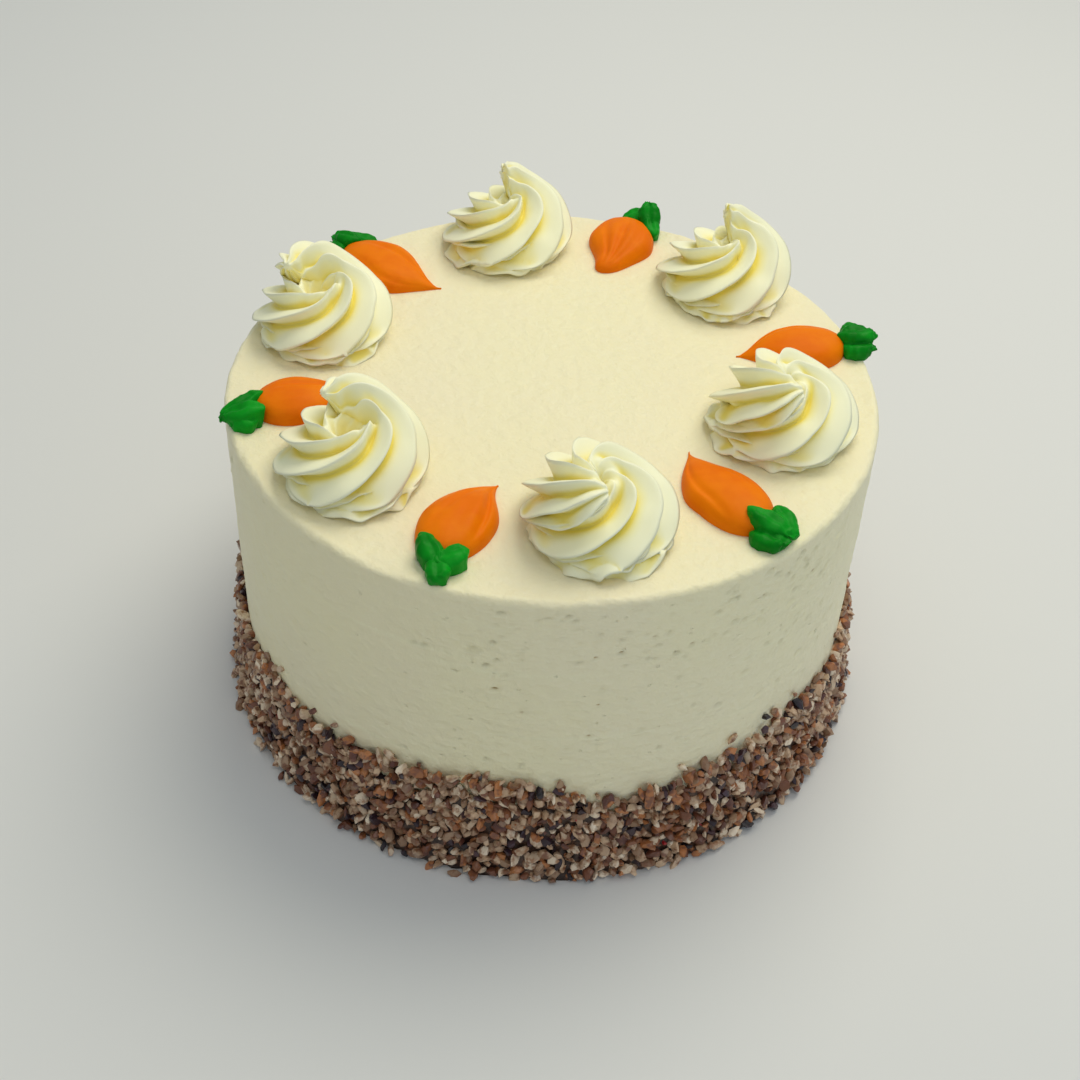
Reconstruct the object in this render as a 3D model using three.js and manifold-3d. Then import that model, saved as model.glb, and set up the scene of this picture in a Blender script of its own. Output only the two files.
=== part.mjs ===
// Carrot cake: an iced round cake with six piped rosettes, six piped carrots and a band of chopped nuts.
// Millimetres, +Z up. The origin is the middle of the flat underside. The front faces -Y.

import * as THREE from "three";
import { mergeVertices } from "three/addons/utils/BufferGeometryUtils.js";
import Module from "manifold-3d";

const wasm = await Module();
wasm.setup();

// Driving dimensions of the iced cake
const CAKE_RADIUS = 108;
const CAKE_HEIGHT = 121;
const RIM_ROUNDING = 3.5;
const CAKE_SEGMENTS = 60;
const WALL_UNEVENNESS = 0.5;

// Driving dimensions of the nut band
const BED_FOOT = 8;
const BED_THICKNESS = 2.6;
const BAND_HEIGHT = 40.6;
// The band's top edge waves up and down: number of waves round the cake, their size and their turn
const BAND_WAVES = [[5, 2.4, -1.79], [8, 2.1, 2.34], [13, 1.65, -2.75]];
const NUT_ROWS = 5;
const NUTS_PER_ROW = 26;
const NUT_LENGTH = 5.4;
const NUT_WIDTH = 3.9;
const NUT_THICKNESS = 3.2;
const NUT_PROUD = 0.8;
const NUT_SEED = 20;

// Every topping keeps this distance from the icing below it and from its neighbours
const GAP = 0.3;

// Piped rosettes: ridges round the rope of icing, the share of its reach that the grooves take, and
// how far the ridges turn with the rope, where 1 keeps them facing the same way in the nozzle
const RIDGES = 8;
const RIDGE_DEPTH = 0.4;
const TWIST = 0.82;
const ROPE_TURN = 480;
const LAP_TURN = 330;
const ROPE_STEP = 24;

// Piped carrots
const CARROT_LENGTH = 38;
const CARROT_WIDTH = 23;
const CARROT_HEIGHT = 7.5;
const WIDEST_AT = 0.4;

const ICING = { color: 0xf0e6bc, roughness: 0.55, metalness: 0 };
const ORANGE_ICING = { color: 0xe87314, roughness: 0.35, metalness: 0 };
const GREEN_ICING = { color: 0x1d8a35, roughness: 0.4, metalness: 0 };

const radians = THREE.MathUtils.degToRad;

// A seeded random number in 0 to 1, so that the same cake comes out each time
function makeRandom(seed) {
  let state = seed;
  return () => {
    state = (state * 1664525 + 1013904223) % 4294967296;
    return state / 4294967296;
  };
}

// A smooth curve through keys of [position, value]
function keyed(keys, position) {
  let value = keys[0][1];
  for (let i = 1; i < keys.length; i += 1) {
    const [start, from] = keys[i - 1];
    const [end, to] = keys[i];
    value = from + (to - from) * THREE.MathUtils.smoothstep(position, start, end);
    if (position <= end) break;
  }
  return value;
}

// One closed body through rings of points, with a fan of triangles over each end
function loft(rings) {
  const count = rings[0].length;
  const points = rings.flat();
  const faces = [];
  for (let i = 0; i < rings.length - 1; i += 1) {
    for (let j = 0; j < count; j += 1) {
      const next = (j + 1) % count;
      const a = i * count + j;
      const b = i * count + next;
      faces.push(a, b, b + count, a, b + count, a + count);
    }
  }
  const middle = (ring) => ring.reduce((sum, p) => sum.add(p), new THREE.Vector3()).divideScalar(count);
  const first = points.push(middle(rings[0])) - 1;
  const last = points.push(middle(rings[rings.length - 1])) - 1;
  const lastRing = (rings.length - 1) * count;
  for (let j = 0; j < count; j += 1) {
    const next = (j + 1) % count;
    faces.push(first, next, j, last, lastRing + j, lastRing + next);
  }
  const geometry = new THREE.BufferGeometry().setFromPoints(points);
  geometry.setIndex(faces);
  return geometry;
}

// Only positions, with shared corners merged
function bare(geometry) {
  const copy = geometry.clone();
  copy.deleteAttribute("normal");
  copy.deleteAttribute("uv");
  return mergeVertices(copy, 1e-4);
}

function solid(geometry) {
  const merged = bare(geometry);
  const mesh = new wasm.Mesh({
    numProp: 3,
    vertProperties: new Float32Array(merged.attributes.position.array),
    triVerts: new Uint32Array(merged.index.array),
  });
  return new wasm.Manifold(mesh);
}

// The outer skin of a joined solid: hollows that the joining sealed are filled, loose scraps dropped
function geometryOf(body) {
  const mesh = body.getMesh();
  const places = mesh.vertProperties;
  const corners = mesh.triVerts;
  const owner = Array.from({ length: places.length / 3 }, (_, i) => i);
  const ownerOf = (i) => {
    let root = i;
    while (owner[root] !== root) root = owner[root];
    owner[i] = root;
    return root;
  };
  for (let t = 0; t < corners.length; t += 3) {
    owner[ownerOf(corners[t + 1])] = ownerOf(corners[t]);
    owner[ownerOf(corners[t + 2])] = ownerOf(corners[t]);
  }
  const point = (i) => new THREE.Vector3().fromArray(places, 3 * i);
  const volumes = new Map();
  for (let t = 0; t < corners.length; t += 3) {
    const [a, b, c] = [point(corners[t]), point(corners[t + 1]), point(corners[t + 2])];
    const skin = ownerOf(corners[t]);
    volumes.set(skin, (volumes.get(skin) ?? 0) + a.dot(b.cross(c)) / 6);
  }
  const larger = (best, skin) => (volumes.get(skin) > volumes.get(best) ? skin : best);
  const outer = [...volumes.keys()].reduce(larger);
  const kept = [];
  for (let t = 0; t < corners.length; t += 3) {
    if (ownerOf(corners[t]) === outer) kept.push(corners[t], corners[t + 1], corners[t + 2]);
  }
  const geometry = new THREE.BufferGeometry();
  geometry.setAttribute("position", new THREE.BufferAttribute(new Float32Array(places), 3));
  geometry.setIndex(kept);
  return bare(geometry);
}

function joined(geometries) {
  return geometries.map(solid).reduce((whole, piece) => whole.add(piece));
}

function node(name, geometry, look) {
  const mesh = new THREE.Mesh(geometry, new THREE.MeshStandardMaterial(look));
  mesh.name = name;
  return mesh;
}

// Height of the nut band's top edge at an angle round the cake
function bandEdge(angle) {
  return BAND_WAVES.reduce((sum, [count, size, turn]) => sum + size * Math.sin(count * angle + turn), BAND_HEIGHT);
}

// How far the nut bed stands out from the icing, from its foot (0) to its top edge (1)
function bedDepth(share) {
  return BED_THICKNESS + (BED_FOOT - BED_THICKNESS) * (1 - share) ** 2;
}

// The iced cake and its nut bed, turned as one profile and then made uneven by hand's measure
function icedBody(random) {
  const bedShares = [0, 0.12, 0.45, 0.9, 1];
  const rim = [0, 30, 60, 90].map((degrees) => {
    const angle = radians(degrees);
    const x = CAKE_RADIUS - RIM_ROUNDING * (1 - Math.cos(angle));
    return new THREE.Vector2(x, CAKE_HEIGHT - RIM_ROUNDING * (1 - Math.sin(angle)));
  });
  const bed = bedShares.map((share) => new THREE.Vector2(CAKE_RADIUS, share));
  const wall = [new THREE.Vector2(CAKE_RADIUS, CAKE_HEIGHT * 0.65)];
  const profile = [new THREE.Vector2(0, 0), ...bed, ...wall, ...rim, new THREE.Vector2(0, CAKE_HEIGHT)];
  const geometry = bare(new THREE.LatheGeometry(profile, CAKE_SEGMENTS));
  geometry.rotateX(Math.PI / 2);
  const position = geometry.attributes.position;
  for (let i = 0; i < position.count; i += 1) {
    const x = position.getX(i);
    const y = position.getY(i);
    const height = position.getZ(i);
    const radius = Math.hypot(x, y);
    if (radius < 1) continue;
    const angle = Math.atan2(y, x);
    const wave = WALL_UNEVENNESS * (Math.sin(2 * angle + height / 40) + 0.5 * Math.sin(5 * angle));
    let grown = radius + wave;
    let z = height;
    if (height <= 1) {
      const bump = height > 0 && height < 1 ? 1.6 * (random() - 0.5) : 0;
      grown += height < 1 ? bedDepth(height) + bump : 0;
      z = height * bandEdge(angle);
    }
    position.setXYZ(i, (x * grown) / radius, (y * grown) / radius, z);
  }
  return geometry;
}

// One chopped nut: a small block with its corners knocked about
function nutChip(random, scale) {
  const chip = bare(new THREE.BoxGeometry(NUT_LENGTH * scale, NUT_WIDTH * scale, NUT_THICKNESS * scale));
  const position = chip.attributes.position;
  for (let i = 0; i < position.count; i += 1) {
    const cut = () => 0.62 + 0.5 * random();
    position.setXYZ(i, position.getX(i) * cut(), position.getY(i) * cut(), position.getZ(i) * cut());
  }
  return chip;
}

// The largest nuts in even, staggered rows, half sunk in the bed
function bandNuts(random) {
  const nuts = [];
  const turn = new THREE.Euler();
  for (let row = 0; row < NUT_ROWS; row += 1) {
    for (let i = 0; i < NUTS_PER_ROW; i += 1) {
      const angle = ((i + (row % 2) * 0.5 + 0.35 * (random() - 0.5)) / NUTS_PER_ROW) * 2 * Math.PI;
      const share = (row + 0.5 + 0.3 * (random() - 0.5)) / NUT_ROWS;
      const radius = CAKE_RADIUS + bedDepth(share) + NUT_PROUD;
      const chip = nutChip(random, 1.15 - 0.3 * random());
      turn.set(radians(360 * random()), radians(60 * (random() - 0.5)), radians(360 * random()));
      chip.applyMatrix4(new THREE.Matrix4().makeRotationFromEuler(turn));
      chip.translate(radius * Math.cos(angle), radius * Math.sin(angle), share * bandEdge(angle));
      const position = chip.attributes.position;
      for (let k = 0; k < position.count; k += 1) {
        position.setZ(k, Math.max(position.getZ(k), 0));
      }
      nuts.push(chip);
    }
  }
  return nuts;
}

function cake() {
  const random = makeRandom(NUT_SEED);
  const body = solid(icedBody(random));
  const whole = bandNuts(random).map(solid).reduce((sum, nut) => sum.add(nut), body);
  return node("cake", geometryOf(whole), ICING);
}

// A rosette is one rope of icing piped round a small circle, anticlockwise seen from above, that
// climbs over its own start and ends in a tail. The keys give, against degrees of turn, the reach of
// the rope from the rosette's axis, its crest and inner edge, and the heights of its top, of its belt
// on the outer and on the inner side, and of its foot.
const CLOSED = {
  outer: [[0, 14], [25, 24], [330, 25], [390, 24], [440, 20], [480, 9]],
  crest: [[0, 8], [330, 8], [400, 7], [450, 4], [480, 1.5]],
  inner: [[0, 0.4], [480, 0.4]],
  top: [[0, 15], [40, 18], [180, 23], [330, 26], [400, 30], [450, 31], [480, 28]],
  belt: [[0, 5], [330, 5], [380, 9], [430, 16], [480, 25]],
  pit: [[0, 12], [180, 16], [330, 19], [400, 22], [480, 26]],
  foot: [[0, -4], [300, -4], [360, 3], [420, 11], [480, 21]],
};

// The tail stands up as a blade at the edge of the rosette
const BLADE = {
  ...CLOSED,
  outer: [[0, 14], [25, 24], [330, 25], [400, 24], [450, 19], [480, 12]],
  crest: [[0, 8], [330, 8], [400, 9], [450, 8], [480, 5]],
  top: [[0, 15], [40, 17], [180, 20], [330, 23], [400, 26], [450, 30], [480, 32]],
  belt: [[0, 5], [330, 5], [380, 7], [430, 13], [480, 24]],
  pit: [[0, 8], [180, 10], [330, 12], [400, 15], [480, 26]],
  foot: [[0, -4], [300, -4], [360, 2], [420, 6], [450, 12], [480, 22]],
};

// The tail runs past the middle, which stays open as a pit
const OPEN = {
  ...CLOSED,
  outer: [[0, 14], [25, 24], [330, 25], [400, 24], [450, 20], [480, 14]],
  crest: [[0, 9], [330, 10], [400, 11], [450, 11], [480, 9]],
  inner: [[0, 1.5], [330, 2.5], [400, 4], [480, 5]],
  top: [[0, 15], [40, 18], [180, 21], [330, 24], [400, 28], [450, 29], [480, 27]],
  belt: [[0, 5], [330, 5], [380, 7], [430, 13], [480, 22]],
  pit: [[0, 6], [180, 6], [330, 6], [400, 10], [480, 22]],
  foot: [[0, -4], [300, -4], [360, 2], [420, 6], [450, 12], [480, 20]],
};

// One cross-section of the rope: its ridges and grooves run from its outer side over to its inner side
function ropeSection(form, bearing, turned, phase) {
  const [outer, crest, inner, top, belt, pit, foot] = ["outer", "crest", "inner", "top", "belt", "pit", "foot"]
    .map((key) => keyed(form[key], turned));
  const ring = [];
  for (let j = 0; j < 2 * RIDGES; j += 1) {
    const groove = j % 2 === 1;
    const angle = TWIST * bearing + phase - ((groove ? j - 0.4 : j) * Math.PI) / RIDGES;
    const outward = Math.cos(angle);
    const upward = Math.sin(angle);
    const depth = outward > 0 ? RIDGE_DEPTH : RIDGE_DEPTH / 2;
    const reach = groove ? 1 - depth : 1;
    const middle = belt + (pit - belt) * THREE.MathUtils.smoothstep(-outward, 0, 0.77);
    const radius = crest + reach * outward * (outward > 0 ? outer - crest : crest - inner);
    const height = middle + reach * upward * (upward > 0 ? top - middle : middle - foot);
    ring.push(new THREE.Vector3(radius * Math.cos(bearing), radius * Math.sin(bearing), Math.max(height, 0)));
  }
  return ring;
}

function ropeStretch(form, end, phase, from, to) {
  const steps = Math.round((to - from) / ROPE_STEP);
  const rings = [];
  for (let i = 0; i <= steps; i += 1) {
    const turned = from + ((to - from) * i) / steps;
    rings.push(ropeSection(form, radians(end - ROPE_TURN + turned), turned, radians(phase)));
  }
  return loft(rings);
}

function rosette(number, polar, radius, form, end, phase) {
  const core = new THREE.CylinderGeometry(4, 5, 8, 4).rotateX(Math.PI / 2).translate(0, 0, 4);
  const lap = ropeStretch(form, end, phase, 0, LAP_TURN);
  const tail = ropeStretch(form, end, phase, LAP_TURN, ROPE_TURN);
  const mesh = node(`rosette_${number}`, geometryOf(joined([lap, tail, core])), ICING);
  const bearing = radians(polar);
  mesh.position.set(radius * Math.cos(bearing), radius * Math.sin(bearing), CAKE_HEIGHT + GAP);
  return mesh;
}

// Half width of a carrot along its length, from its round end (0) to its point (1)
function carrotHalfWidth(along) {
  if (along < WIDEST_AT) return Math.sqrt(Math.max(1 - (1 - along / WIDEST_AT) ** 2, 0));
  return 1 - ((along - WIDEST_AT) / (1 - WIDEST_AT)) ** 1.9;
}

// A carrot lies along +X with its point at +X and its widest place over the origin. Extra grows it.
function carrotGeometry(shape, extra = 0) {
  const rings = [];
  const places = [0.015, 0.06, 0.16, 0.28, 0.42, 0.56, 0.7, 0.82, 0.92, 0.985];
  for (const along of places) {
    const share = carrotHalfWidth(along);
    const half = Math.max((shape.width / 2) * share, 0.5) + extra;
    const height = Math.max(shape.height * Math.sqrt(share), 0.9) + 2 * extra;
    const end = along === places[0] ? -extra : along === places[places.length - 1] ? extra : 0;
    const x = shape.length * (along - WIDEST_AT) + end;
    const bend = shape.bend * Math.max(along - WIDEST_AT, 0) ** 2;
    const ring = [];
    for (let j = 0; j <= 8; j += 1) {
      const angle = (j * Math.PI) / 8;
      const crease = 1 - shape.crease * Math.exp(-(((angle - shape.creaseAt) / 0.3) ** 2));
      const up = height * Math.sin(angle) ** 0.8 * crease;
      ring.push(new THREE.Vector3(x, half * Math.cos(angle) + bend, up - extra));
    }
    rings.push(ring);
  }
  return loft(rings);
}

// One leaf: a squeeze of icing that is round where it starts and drawn out to a point
function leafGeometry([fromX, fromY, fromZ], [toX, toY, toZ], width, thickness) {
  const from = new THREE.Vector3(fromX, fromY, fromZ);
  const to = new THREE.Vector3(toX, toY, toZ);
  const along = to.clone().sub(from).normalize();
  const side = new THREE.Vector3(-along.y, along.x, 0).normalize();
  const up = along.clone().cross(side);
  const rings = [[0, 0.55], [0.2, 1.08], [0.5, 1.05], [0.8, 0.68], [1, 0.18]].map(([place, size]) => {
    const middle = from.clone().lerp(to, place);
    const ring = [];
    for (let j = 0; j < 6; j += 1) {
      const angle = (j * Math.PI) / 3;
      const point = middle.clone();
      point.addScaledVector(side, (Math.cos(angle) * size * width) / 2);
      point.addScaledVector(up, (Math.sin(angle) * size * thickness) / 2);
      point.z = Math.max(point.z, 0);
      ring.push(point);
    }
    return ring;
  });
  return loft(rings);
}

// A carrot and its green top, each in its own node, turned to point at the middle of the cake
function carrot(letter, polar, radius, pointing, changes, leaves) {
  const shape = {
    length: CARROT_LENGTH,
    width: CARROT_WIDTH,
    height: CARROT_HEIGHT,
    bend: 0,
    crease: 0.2,
    creaseAt: 1.1,
    ...changes,
  };
  const group = new THREE.Group();
  const butt = -shape.length * WIDEST_AT;
  const cutter = solid(carrotGeometry(shape, GAP));
  const green = joined(leaves.map(([from, to, width]) => leafGeometry(
    [butt - from[0], -from[1], from[2]],
    [butt - to[0], -to[1], to[2]],
    width,
    5,
  )));
  group.add(node(`carrot_${letter}`, carrotGeometry(shape), ORANGE_ICING));
  group.add(node(`carrot_top_${letter}`, geometryOf(green.subtract(cutter)), GREEN_ICING));
  group.position.set(radius * Math.cos(radians(polar)), radius * Math.sin(radians(polar)), CAKE_HEIGHT + GAP);
  group.rotation.z = radians(pointing);
  return group;
}

const model = new THREE.Group();
model.add(cake());

// Rosettes: number, polar angle and radius of the axis on the cake, form, bearing of the end of the
// rope and phase of its ridges
const ROSETTES = [
  [1, 162.9, 84, OPEN, 175, 10],
  [2, 102.9, 87, BLADE, 110, 0],
  [3, 46.1, 86, BLADE, 100, 20],
  [4, -16.5, 77.5, CLOSED, 285, 5],
  [5, -78.8, 75.5, CLOSED, 280, 15],
  [6, -139.9, 80.5, OPEN, 140, 0],
];
ROSETTES.forEach((place) => model.add(rosette(...place)));

// Carrots: letter, polar angle and radius of the widest place, bearing of the point, changes to the
// common shape, and the leaves of the top. A leaf goes from its round start to its point, each given
// as distance out past the round end of the carrot, distance to the side and height, and has a width.
const CARROTS = [
  ["a", 134.9, 90, -34.7, { length: 40, width: 24.5 }, [
    [[-8, -8.5, 3], [3, -3, 5], 6.5], [[-3, -3, 6], [6, -1, 4.5], 7], [[-1, 5, 3], [5, 2, 3], 6.5],
  ]],
  ["b", 75.1, 90.5, -105.4, { length: 35, width: 24 }, [
    [[-12, -11, 2.5], [1, -5, 3.5], 6.5], [[-4, -9, 4.5], [2.5, -5.5, 8.5], 7], [[-1, 3, 3], [3, -4, 4.5], 6.5],
  ]],
  ["c", 14.9, 87.5, 188.9, { length: 36, width: 23 }, [
    [[-2, -6, 3.5], [8, -5.5, 4], 6.5], [[-3, 2, 6.5], [9, 3, 5], 7.5], [[-1, 7.5, 4], [6, 6, 3.5], 6.5],
  ]],
  ["d", -47.1, 81.1, 123.9, { width: 22, bend: -0.006 }, [
    [[-6, -2.5, 7], [7, 4, 3.5], 7], [[-5, 8, 4.5], [7, 4.5, 3], 7.5], [[0, -5, 2.2], [10.5, -1, 2.2], 7],
  ]],
  ["e", -109.5, 81.7, 69.1, { width: 22 }, [
    [[-3.5, -5.5, 6], [4, 3, 3.5], 7], [[-4, 9.5, 5], [4, 3, 3.5], 7.5], [[10.5, 5.5, 2.4], [3, 3, 3.4], 7],
  ]],
  ["f", -166.7, 85.7, 21.9, { length: 34, width: 22 }, [
    [[-4, -3, 6], [10, 3, 3], 6.5], [[-3, 6.5, 6.5], [10, 3, 3.5], 7.5], [[0, 9, 2.5], [8, 5, 2.5], 6.5],
  ]],
];
CARROTS.forEach((place) => model.add(carrot(...place)));

export default model;
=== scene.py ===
import math

import bmesh
import bpy
import numpy as np
from mathutils import Matrix, Vector


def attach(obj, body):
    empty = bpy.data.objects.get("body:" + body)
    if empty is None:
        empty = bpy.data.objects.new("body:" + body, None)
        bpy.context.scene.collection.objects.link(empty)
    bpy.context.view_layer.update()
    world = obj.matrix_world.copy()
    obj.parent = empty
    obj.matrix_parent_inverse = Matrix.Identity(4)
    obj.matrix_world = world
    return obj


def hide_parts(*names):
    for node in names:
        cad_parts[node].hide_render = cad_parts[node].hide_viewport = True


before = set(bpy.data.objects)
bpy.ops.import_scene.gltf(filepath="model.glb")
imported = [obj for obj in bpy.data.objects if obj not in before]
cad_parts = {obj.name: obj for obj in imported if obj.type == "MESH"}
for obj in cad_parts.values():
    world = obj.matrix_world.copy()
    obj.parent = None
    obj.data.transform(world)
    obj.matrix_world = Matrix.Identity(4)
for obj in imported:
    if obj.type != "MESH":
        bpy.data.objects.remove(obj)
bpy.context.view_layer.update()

# Lengths are in millimetres here and become metres when a mesh is made
MM = 0.001

# Iced cake
CAKE_RADIUS = 108.0
CAKE_HEIGHT = 121.0
RIM_ROUNDING = 2.2
WALL_TOP = CAKE_HEIGHT - RIM_ROUNDING

# Band of chopped nuts. Its waves are (count round the cake, size, turn in radians).
BED_FOOT = 8.0
BED_THICKNESS = 2.6
BAND_HEIGHT = 40.6
BAND_WAVES = ((5, 2.4, -1.79), (8, 2.1, 2.34), (13, 1.65, -2.75))

# Piped rosettes. Each is a ridged rope of icing. The ridges lean, are steep on one side, and twist as
# the rope goes round. The main lap, the rope's end and the steps along the rope are in degrees.
RIDGES = 8
RIDGE_SAMPLES = 14
ROPE_AROUND = RIDGES * RIDGE_SAMPLES
RIDGE_DEPTH = 0.42
STEEP = 0.3
LEAN = 0.35
TWIST = 0.82
LAP = 330
ROPE_END = 480
ROPE_STEP = 3.0

# Piped carrots
CARROT_HEIGHT = 7.5
WIDEST_AT = 0.4


def smoothstep(x):
    x = np.clip(x, 0, 1)
    return x * x * (3 - 2 * x)


def keyed(keys, position):
    """A smooth curve through keys of (position, value)."""
    value = keys[0][1]
    for (start, low), (end, high) in zip(keys, keys[1:]):
        value = low + (high - low) * float(smoothstep((position - start) / (end - start)))
        if position <= end:
            break
    return value


def around_axis(angle, radius, height):
    """Points at angles, radii and heights about an upright axis."""
    return np.stack([radius * np.cos(angle), radius * np.sin(angle), height], -1)


def lattice(seed, size=64):
    return np.random.default_rng(seed).random((size, size, size)).astype(np.float32)


LATTICES = {seed: lattice(seed) for seed in (1, 2, 3)}


def soft_noise(points, scale, seed):
    """Smooth noise from -1 to 1 at points (n, 3), with lumps about as wide as scale."""
    grid = LATTICES[seed]
    size = grid.shape[0]
    p = np.asarray(points) / scale + 1000.37 * seed
    cell = np.floor(p).astype(int)
    part = smoothstep(p - cell)
    total = 0
    for dx in (0, 1):
        for dy in (0, 1):
            for dz in (0, 1):
                weight = (
                    np.where(dx, part[:, 0], 1 - part[:, 0])
                    * np.where(dy, part[:, 1], 1 - part[:, 1])
                    * np.where(dz, part[:, 2], 1 - part[:, 2])
                )
                x, y, z = ((cell + (dx, dy, dz)) % size).T
                total = total + weight * grid[x, y, z]
    return 2 * total - 1


def soft_shift(points, scale):
    """Smooth noise along all three axes."""
    return np.stack([soft_noise(points, scale, seed) for seed in LATTICES], -1)


# Meshes


def set_tones(mesh, tones):
    """Gives each point a number for the material."""
    layer = mesh.attributes.new("tone", "FLOAT", "POINT")
    layer.data.foreach_set("value", np.asarray(tones, dtype=np.float32))


def mesh_object(name, points, faces, material, smooth=True, tones=None):
    """A new object from points in millimetres."""
    mesh = bpy.data.meshes.new(name)
    mesh.from_pydata((np.asarray(points) * MM).tolist(), [], [tuple(f) for f in faces])
    mesh.materials.append(material)
    mesh.polygons.foreach_set("use_smooth", [smooth] * len(mesh.polygons))
    if tones is not None:
        set_tones(mesh, tones)
    mesh.update()
    piece = bpy.data.objects.new(name, mesh)
    bpy.context.collection.objects.link(piece)
    return piece


def finish_piece(piece, slot, *nodes):
    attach(piece, "root")
    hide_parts(*nodes)


def loft_faces(rings, around):
    """Faces between closed rings of points, and the two end fans. The end middles come last."""
    index = np.arange(rings * around).reshape(rings, around)
    nxt = np.roll(index, -1, axis=1)
    quads = np.stack([index[:-1], nxt[:-1], nxt[1:], index[1:]], -1).reshape(-1, 4)
    first = rings * around
    last = first + 1
    ends = [(first, nxt[0, j], index[0, j]) for j in range(around)]
    ends += [(last, index[-1, j], nxt[-1, j]) for j in range(around)]
    return quads.tolist() + ends


def loft(rings):
    """A closed surface through rings of points, as (points, faces)."""
    rings = np.asarray(rings)
    points = np.vstack([rings.reshape(-1, 3), rings[0].mean(0), rings[-1].mean(0)])
    return points, loft_faces(rings.shape[0], rings.shape[1])


def edge_ends(mesh):
    """The two vertex numbers of every edge, as two arrays."""
    ends = np.empty(len(mesh.edges) * 2, dtype=int)
    mesh.edges.foreach_get("vertices", ends)
    return ends.reshape(-1, 2).T


def vertex_values(mesh, name):
    """The places (co) or the normals (normal) of the vertices, in metres."""
    values = np.empty(len(mesh.vertices) * 3)
    mesh.vertices.foreach_get(name, values)
    return values.reshape(-1, 3)


def drop_crumbs(mesh):
    """Deletes the specks that a union can leave beside the main surface."""
    a, b = edge_ends(mesh)
    label = np.arange(len(mesh.vertices))
    while True:
        low = np.minimum(label[a], label[b])
        new = label.copy()
        np.minimum.at(new, a, low)
        np.minimum.at(new, b, low)
        new = new[new]
        if (new == label).all():
            break
        label = new
    main = np.bincount(label).argmax()
    work = bmesh.new()
    work.from_mesh(mesh)
    work.verts.ensure_lookup_table()
    spare = [work.verts[i] for i in np.flatnonzero(label != main)]
    bmesh.ops.delete(work, geom=spare, context="VERTS")
    work.to_mesh(mesh)
    work.free()


def united(name, parts, material):
    """One closed surface from overlapping closed parts, each given as (points, faces)."""
    pieces = [
        mesh_object(f"{name}_part_{i}", points, faces, material)
        for i, (points, faces) in enumerate(parts)
    ]
    whole = pieces[0]
    for other in pieces[1:]:
        step = whole.modifiers.new("join", "BOOLEAN")
        step.operation = "UNION"
        step.solver = "MANIFOLD"
        step.object = other
        bpy.context.view_layer.update()
        shaped = whole.evaluated_get(bpy.context.evaluated_depsgraph_get())
        done = bpy.data.meshes.new_from_object(shaped)
        whole.modifiers.clear()
        old, whole.data = whole.data, done
        bpy.data.meshes.remove(old)
        spent = other.data
        bpy.data.objects.remove(other)
        bpy.data.meshes.remove(spent)
    drop_crumbs(whole.data)
    whole.name = name
    whole.data.name = name
    whole.data.materials.clear()
    whole.data.materials.append(material)
    whole.data.polygons.foreach_set("use_smooth", [True] * len(whole.data.polygons))
    return whole


# Materials


def new_material(name):
    material = bpy.data.materials.new(name)
    material.use_nodes = True
    tree = material.node_tree
    shader = tree.nodes["Principled BSDF"]
    return material, tree, shader


def linear(red, green, blue):
    """An 8-bit screen colour as linear light."""
    def one(v):
        v = v / 255
        return v / 12.92 if v <= 0.04045 else ((v + 0.055) / 1.055) ** 2.4
    return (one(red), one(green), one(blue), 1)


def mix_colour(tree, factor, low, high):
    """A mix of two colours. Each of the three values may be a socket."""
    node = tree.nodes.new("ShaderNodeMix")
    node.data_type = "RGBA"
    for socket, value in ((0, factor), (6, low), (7, high)):
        if isinstance(value, tuple):
            node.inputs[socket].default_value = value
        else:
            tree.links.new(value, node.inputs[socket])
    return node.outputs[2]


def ramp(tree, source, low, high):
    """A soft step from 0 at low to 1 at high."""
    node = tree.nodes.new("ShaderNodeMapRange")
    node.interpolation_type = "SMOOTHSTEP"
    tree.links.new(source, node.inputs["Value"])
    node.inputs["From Min"].default_value = low
    node.inputs["From Max"].default_value = high
    return node.outputs["Result"]


def object_place(tree):
    return tree.nodes.new("ShaderNodeTexCoord").outputs["Object"]


def object_height(tree):
    parts = tree.nodes.new("ShaderNodeSeparateXYZ")
    tree.links.new(object_place(tree), parts.inputs["Vector"])
    return parts.outputs["Z"]


def object_noise(tree, scale, detail, stretch=(1, 1, 1)):
    mapping = tree.nodes.new("ShaderNodeMapping")
    mapping.inputs["Scale"].default_value = stretch
    tree.links.new(object_place(tree), mapping.inputs["Vector"])
    noise = tree.nodes.new("ShaderNodeTexNoise")
    noise.inputs["Scale"].default_value = scale
    noise.inputs["Detail"].default_value = detail
    tree.links.new(mapping.outputs["Vector"], noise.inputs["Vector"])
    return noise.outputs["Fac"]


def tone_value(tree):
    """The number that each point of a mesh carries for its material."""
    node = tree.nodes.new("ShaderNodeAttribute")
    node.attribute_name = "tone"
    return node.outputs["Fac"]


def specks(tree, scale, size, share):
    """Sparse small dots: 1 on a dot and 0 elsewhere."""
    cells = tree.nodes.new("ShaderNodeTexVoronoi")
    cells.inputs["Scale"].default_value = scale
    tree.links.new(object_place(tree), cells.inputs["Vector"])
    near = ramp(tree, cells.outputs["Distance"], size, size * 0.5)
    pick = tree.nodes.new("ShaderNodeSeparateColor")
    tree.links.new(cells.outputs["Color"], pick.inputs["Color"])
    chosen = ramp(tree, pick.outputs["Red"], share, share * 0.98)
    both = tree.nodes.new("ShaderNodeMath")
    both.operation = "MULTIPLY"
    tree.links.new(near, both.inputs[0])
    tree.links.new(chosen, both.inputs[1])
    return both.outputs["Value"]


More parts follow.
